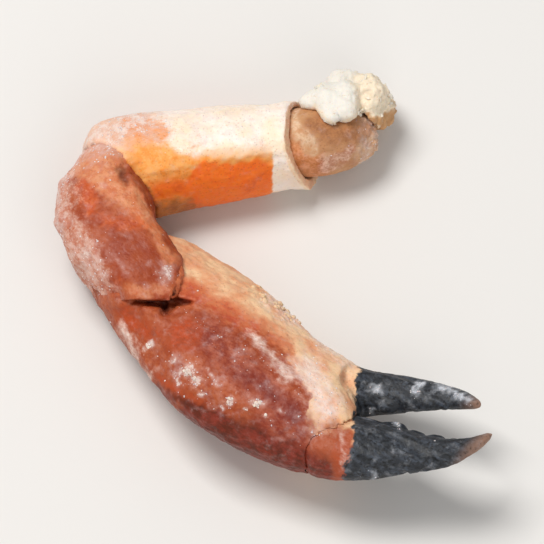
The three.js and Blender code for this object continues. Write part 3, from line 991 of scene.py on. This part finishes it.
# The arm's paint: the top of its orange band, and the border of the warm part by the elbow.
ARM_BAND_TOP = ((-30, 26), (-20, 24.5), (-16, 25), (-13, 27.2), (-8, 27), (-4, 27.6), (2, 27.2))
ARM_LEFT_TOP = ((-32, 37), (-24, 32.5), (-17, 28.5), (-12, 25), (-8, 18))
ARM_STROKES = {
    "amber": ((1.1, 3, (-27, 29.4), (-17, 26)), (0.8, 1.4, (-15, 21.5), (-12.5, 21))),
    "petal": (
        (1, 4.4, (-36, 31), (-27, 36)), (0.5, 2.2, (-15.4, 31.2)), (0.4, 1.6, (-2.4, 31)),
    ),
    "patch": ((1, 2.3, (-29, 34.6), (-22.4, 33)),),
    # Painted shade at the arm's lower left.
    "arm_shade": ((1, 1.5, (-25, 17.4), (-16, 18.6)),),
    "scarlet": ((0.6, 1.8, (-18.4, 22.2)),),
    "band": ((0.9, 2.6, (-22.6, 21.6), (-17, 22)),),
}
ARM_FROST = ((0.6, 4.2, (-36, 31), (-27, 36)), (0.3, 3, (-14, 33)))
ARM_RELIEF = ((0.6, 6, "clouds"), (0.2, 1.5, "cells"), (0.12, 0.8, "clouds"))


def make_merus(material):
    piece = rounded_copy("merus", "arm_shell", SHELL_CELL)
    place = ArmPlace(piece)
    roughen(piece, 1, *ARM_RELIEF)
    seen = Seen(piece)
    swell(piece, rise(place.along, 10, 3) * (0.4 + 0.6 * rise(seen.height, 26, 32)), 0.6)
    swell(piece, seen.strokes(ELBOW_SEAM), 0.45)

    place = ArmPlace(piece)
    seen = Seen(piece, 0.8)
    write_lie(piece, place.along, place.back, place.up)
    straight = 1 - rise(place.points[:, 0] + 0.25 * ripple(place.points, 1.6, 35), -0.5, 0.6)
    honey = np.maximum(seen.below(ARM_BAND_TOP, 2.4, 2.6) * straight, seen.below(ARM_LEFT_TOP, 3))
    masks = seen.masks(ARM_STROKES)
    vivid = seen.below(ARM_BAND_TOP, 0.9) * straight * rise(seen.across, -19, -15)
    vivid = np.maximum(vivid, masks.pop("band"))
    masks["amber"] += seen.below(ARM_BAND_TOP, 1.2, 1.0) * straight
    masks["scarlet"] += 0.6 * seen.stroke(1.5, (-5, 22), (-1, 25)) * straight
    # Painted shade in the crease along the elbow seam.
    masks["arm_shade"] += 0.5 * seen.strokes(ELBOW_SEAM)
    frost = 0.1 + 0.26 * rise(place.back, -3, 5) + 0.1 * ripple(place.points, 3, 36)
    frost += seen.strokes(ARM_FROST)
    write_shell_masks(
        piece, honey=honey, vivid=np.maximum(vivid, 0.6 * (1 - seen.front) * straight),
        # Painted shade: a warmer, darker tone on the rim's inner wall.
        mouth=rise(normals_of(piece)[:, 0], 0.45, 0.8) * rise(place.from_rim, 2, 0.8),
        rim=band(place.from_rim, -0.5, 0.75, 0.3) * rise(seen.height, 36, 27),
        frost=seen.fade_behind(frost * (1 - 0.75 * vivid), 0.4), fleck=0.1 + 0.5 * vivid, **masks,
    )
    return put_on(piece, "merus", material)


ARM_END_STROKES = {
    "caramel": ((1, 2.6, (5.6, 29), (9, 25.4)), (0.6, 1.2, (3, 38), (3.2, 31))),
    # A painted highlight band down the dome's left side.
    "highlight_and_frost": ((1.2, 1.5, (4, 37), (8, 30)),),
    # Painted shade under the knuckle meat.
    "brown": ((1.2, 2.6, (9.4, 34.4), (18, 33.2)),),
    "rosy": ((1, 1.6, (10.5, 26.4), (15.4, 29.6)),),
}


def make_ischium(material):
    piece = rounded_copy("ischium", "arm_end", SHELL_CELL, passes=8)
    roughen(piece, 1, (0.7, 5, "clouds"))
    place = ArmPlace(piece)
    seen = Seen(piece)
    right = rise(place.points[:, 0] + 0.8 * ripple(place.points, 3, 45), 14.5, 20)
    roughen(piece, right, (1.0, 1.6, "sharp"))
    write_lie(piece, place.along, place.back, place.up)
    masks = seen.masks(ARM_END_STROKES)
    # The frost at the right end.
    masks["highlight_and_frost"] += right
    write_shell_masks(piece, frost=0.08 + 0.5 * right, fleck=0.1, **masks)
    return put_on(piece, "ischium", material)


# The painted shade in a strip under the torn meat, and the smooth lobe's cream edge.
MEAT_UNDER = (1.8, (19.2, 35.6), (23.6, 35.4))
MEAT_EDGE = ((1, 0.9, (8, 38), (12, 34.6)), (1, 0.9, (12, 34.6), (16.4, 35.4)))
MEAT_RELIEF = ((1.3, 4.2, "clouds"), (1.0, 2.2, "sharp"))


def make_knuckle(material):
    piece = rounded_copy("knuckle", "knuckle_meat", KNUCKLE_CELL, passes=4)
    torn = rise(points_of(piece)[:, 0], 13, 19)
    shape_under(piece, 1 - torn, "SMOOTH", factor=0.9, iterations=120)
    swell(piece, 1 - torn, 0.8)
    swell(piece, Seen(piece, 0).stroke(1.9, (12.4, 36.2), (15.4, 36.6)), 1.3)
    roughen(piece, 0.35 + 0.65 * torn, *MEAT_RELIEF)
    roughen(piece, 0.8 + 0.2 * torn, (0.24, 0.8, "clouds"))
    place = ArmPlace(piece)
    seen = Seen(piece)
    right, _, up = place.points.T
    write_lie(piece, place.along, place.back, place.up)
    creamy = rise(right + 0.8 * ripple(place.points, 4, 47), 14, 19)
    # Painted shade low down towards the floor, and browner at the far right.
    brown = 0.6 * rise(right + ripple(place.points, 3, 48), 22, 26) + 0.7 * (1 - rise(up, 4, 10))
    write_masks(
        piece, creamy=creamy + 0.8 * seen.strokes(MEAT_EDGE),
        brown=brown + 1.1 * seen.stroke(*MEAT_UNDER),
    )
    return put_on(piece, "knuckle", material)


# ---- what is scattered: rime crystals, frost lumps, crumbs, joint skin and torn flakes ----

def jitter(piece, offset, seed):
    """Moves each corner of a piece a little in its own way."""
    edit_all(piece, bpy.ops.transform.vertex_random, offset=offset, uniform=1, normal=0, seed=seed)


def rough_ball(detail, offset, seed):
    """One small uneven lump of unit radius."""
    bpy.ops.mesh.primitive_ico_sphere_add(subdivisions=detail, radius=1)
    ball = bpy.context.object
    jitter(ball, offset, seed)
    return ball


def torn_shred():
    """A thin curled sheet of unit half length, narrower towards its ends."""
    bpy.ops.mesh.primitive_grid_add(x_subdivisions=6, y_subdivisions=4, size=2)
    shred = bpy.context.object
    corners = points_of(shred) * MM
    along = corners[:, 0]
    corners[:, 1] *= 0.55 * (1 - 0.5 * np.abs(along))
    corners[:, 2] += 0.35 * along ** 2 + 0.16 * np.sin(5 * along) * np.cos(4 * corners[:, 1])
    move_points(shred, corners / MM)
    shape_with(shred, "SOLIDIFY", thickness=0.22)
    jitter(shred, 0.08, 5)
    return shred


def scatter(bits, models, seats, normals, sizes):
    """One joined mesh of copies of the models, each turned its own way on its seat."""
    draw = np.random.default_rng(bits.seed + 1)
    shapes = []
    for model in models:
        corners = read_rows(model.data.vertices, "co", 3)
        shapes.append((corners, [tuple(face.vertices) for face in model.data.polygons]))
    vertices, faces = [], []
    count = 0
    for seat, up, size in zip(seats, normals, sizes):
        corners, sides = shapes[draw.integers(len(shapes))]
        spin = draw.uniform(0, 2 * math.pi)
        cosine, sine = math.cos(spin), math.sin(spin)
        around = np.array(((cosine, -sine, 0), (sine, cosine, 0), (0, 0, 1)))
        tilt = Vector(up) + Vector(draw.normal(0, 0.35, 3))
        turn = np.array(tilt.to_track_quat("Z", "Y").to_matrix())
        shape = corners * (size * draw.uniform(0.7, 1.3), size, size * bits.flatness)
        vertices.append((shape @ around.T) @ turn.T + seat)
        faces += [tuple(index + count for index in side) for side in sides]
        count += len(corners)
    mesh = bpy.data.meshes.new(bits.name)
    mesh.from_pydata((np.concatenate(vertices) * MM).tolist(), [], faces)
    return new_object(bits.name, mesh)


def strew(bits, piece, weights, models, material, lift=0.0):
    """Strews bits over a piece, on seats that are drawn where the weights are high."""
    draw = np.random.default_rng(bits.seed)
    chance = np.clip(weights, 0, None)
    chance = chance / chance.sum()
    picked = draw.choice(len(chance), size=bits.count, replace=False, p=chance)
    normals = normals_of(piece)[picked]
    seats = points_of(piece)[picked] + lift * normals
    sizes = bits.least + bits.spread * draw.random(bits.count) ** bits.power
    put_on(scatter(bits, models, seats, normals, sizes), None, material)


def lump_weights(palm):
    """Where the thicker lumps of frost stand on the palm."""
    seen = Seen(palm, 0)
    weights = 0
    for place, radius in FROST_LUMPS:
        weights = np.maximum(weights, seen.dab(0.6 * radius, place) * radius)
    return weights ** 3


def flake_weights(knuckle):
    """Where torn shreds stand off the knuckle: high up, and most at its torn end."""
    right, _, up = points_of(knuckle).T
    return rise(up, 7, 12) * (0.06 + rise(right, 14, 21))


def skin_in_crack(palm, wrist, models, material):
    """Joint skin that fills the crack where the wrist shell's flank meets the palm."""
    points = np.concatenate((points_of(palm), points_of(wrist)))
    flat = np.stack((points[:, 0], points @ PAINT_UP), axis=1)
    depth = points @ PAINT_NEAR
    seats = []
    for across, height in np.linspace(CRACK_TOP, CRACK_FOOT, SKIN.count):
        by = np.linalg.norm(flat - (across, height), axis=1) < 0.9
        level = np.percentile(depth[by & (depth > depth[by].max() - 3)], 55) - SKIN_DEPTH
        seats.append((across, 0, 0) + height * PAINT_UP + level * PAINT_NEAR)
    normals = [PAINT_NEAR] * SKIN.count
    skin = scatter(SKIN, models, seats, normals, [SKIN.least] * SKIN.count)
    round_off(skin, SKIN_CELL, passes=12)
    put_on(skin, None, material)


def dress_claw():
    """Makes every piece of the claw, and strews the loose bits over them."""
    palm_paint = shell_material("palm shell", (CREAM, PEACH), PALM_COATS, grain=0.6)
    wrist_paint = shell_material("wrist shell", (BRICK, CLAY), WRIST_COATS)
    arm_paint = shell_material("arm shell", (PALE, IVORY), ARM_COATS)
    arm_end_paint = shell_material("arm end", (BEIGE, TAN), ARM_END_COATS, bump=0.35)
    meat_paint = knuckle_material()
    ice_paint = soft_material("rime", RIME_WHITE, LILAC, 0.6, 0.45, 0.3, 0.2)
    lump_paint = soft_material("frost lumps", LUMP_WHITE, PETAL, 0.6, 0.5, 0.3, 0.3)
    skin_paint = soft_material("joint skin", CLAY, SALMON, 0.7, 0.55, 0.15, 0.3)
    flake_paint = soft_material("torn meat", MEAT_CREAM, MEAT, 0.8, 0.6, 0.2, 0.3)
    crumb_paint = soft_material("shell crumbs", SAND, CREAM, 0.8, 0.6, 0.2, 0.4)

    palm = make_propodus(palm_paint)
    finger = make_dactylus(palm_paint)
    wrist = make_carpus(wrist_paint)
    arm = make_merus(arm_paint)
    arm_end = make_ischium(arm_end_paint)
    knuckle = make_knuckle(meat_paint)

    crystals = [rough_ball(1, 0.35, seed) for seed in (1, 2, 3)]
    lumps = [rough_ball(2, 0.14, seed) for seed in (4, 5, 6)]
    for piece, slot, count, seed in (
        (palm, "palm_shell", 320, 90), (finger, "black_finger", 60, 92),
        (wrist, "wrist_shell", 300, 94), (arm, "arm_shell", 260, 96),
        (arm_end, "joint_membrane", 70, 98),
    ):
        rime = RIME._replace(name="rime_on_" + piece.name, count=count, seed=seed)
        strew(rime, piece, mask_of(piece, "frost") ** 2.2, crystals, ice_paint)
    crumbly = Seen(palm).stroke(0.9, (-3, 2), (13.5, -9)) ** 2
    strew(CRUMBS, palm, crumbly, lumps, crumb_paint)
    strew(LUMPS, palm, lump_weights(palm), lumps, lump_paint)
    skin_in_crack(palm, wrist, lumps, skin_paint)
    shred = torn_shred()
    strew(FLAKES, knuckle, flake_weights(knuckle), [shred], flake_paint, lift=0.1)
    for model in (*crystals, *lumps, shred):
        bpy.data.objects.remove(model)


# ---- the stage ----

def make_floor():
    bpy.ops.mesh.primitive_plane_add(size=FLOOR_SIDE, location=(0, 0, -FLOOR_DROP))
    floor = bpy.context.object
    floor.name = "floor"
    material, _, skin = new_material("floor")
    skin["Base Color"].default_value = FLOOR_GREY
    skin["Roughness"].default_value = 0.85
    floor.data.materials.append(material)


def light_stage():
    scene = bpy.context.scene
    for name, place, side, power, tint in LAMPS:
        light = bpy.data.lights.new(name, "AREA")
        light.shape = "SQUARE"
        light.size = side
        light.energy = power
        light.color = tint
        lamp = new_object(name, light)
        lamp.location = place
        lamp.rotation_euler = (-Vector(place)).to_track_quat("-Z", "Y").to_euler()
    world = bpy.data.worlds.new("studio")
    world.use_nodes = True
    sky = world.node_tree.nodes["Background"].inputs
    sky["Color"].default_value = (1, 1, 1, 1)
    sky["Strength"].default_value = SKY_STRENGTH
    scene.world = world
    scene.view_settings.view_transform = "Standard"
    scene.view_settings.look = "None"


def place_camera():
    low, high = (Vector(corner) for corner in cad_box)
    target = (low + high) / 2
    lens = bpy.data.cameras.new("camera")
    lens.lens = CAMERA_LENS
    lens.clip_end = CAMERA_REACH
    camera = new_object("camera", lens)
    back = Vector((0, -math.cos(CAMERA_RISE), math.sin(CAMERA_RISE)))
    camera.location = target + back * CAMERA_DISTANCE
    camera.rotation_euler = (math.pi / 2 - CAMERA_RISE, 0, 0)
    bpy.context.scene.camera = camera


dress_claw()
make_floor()
light_stage()
place_camera()
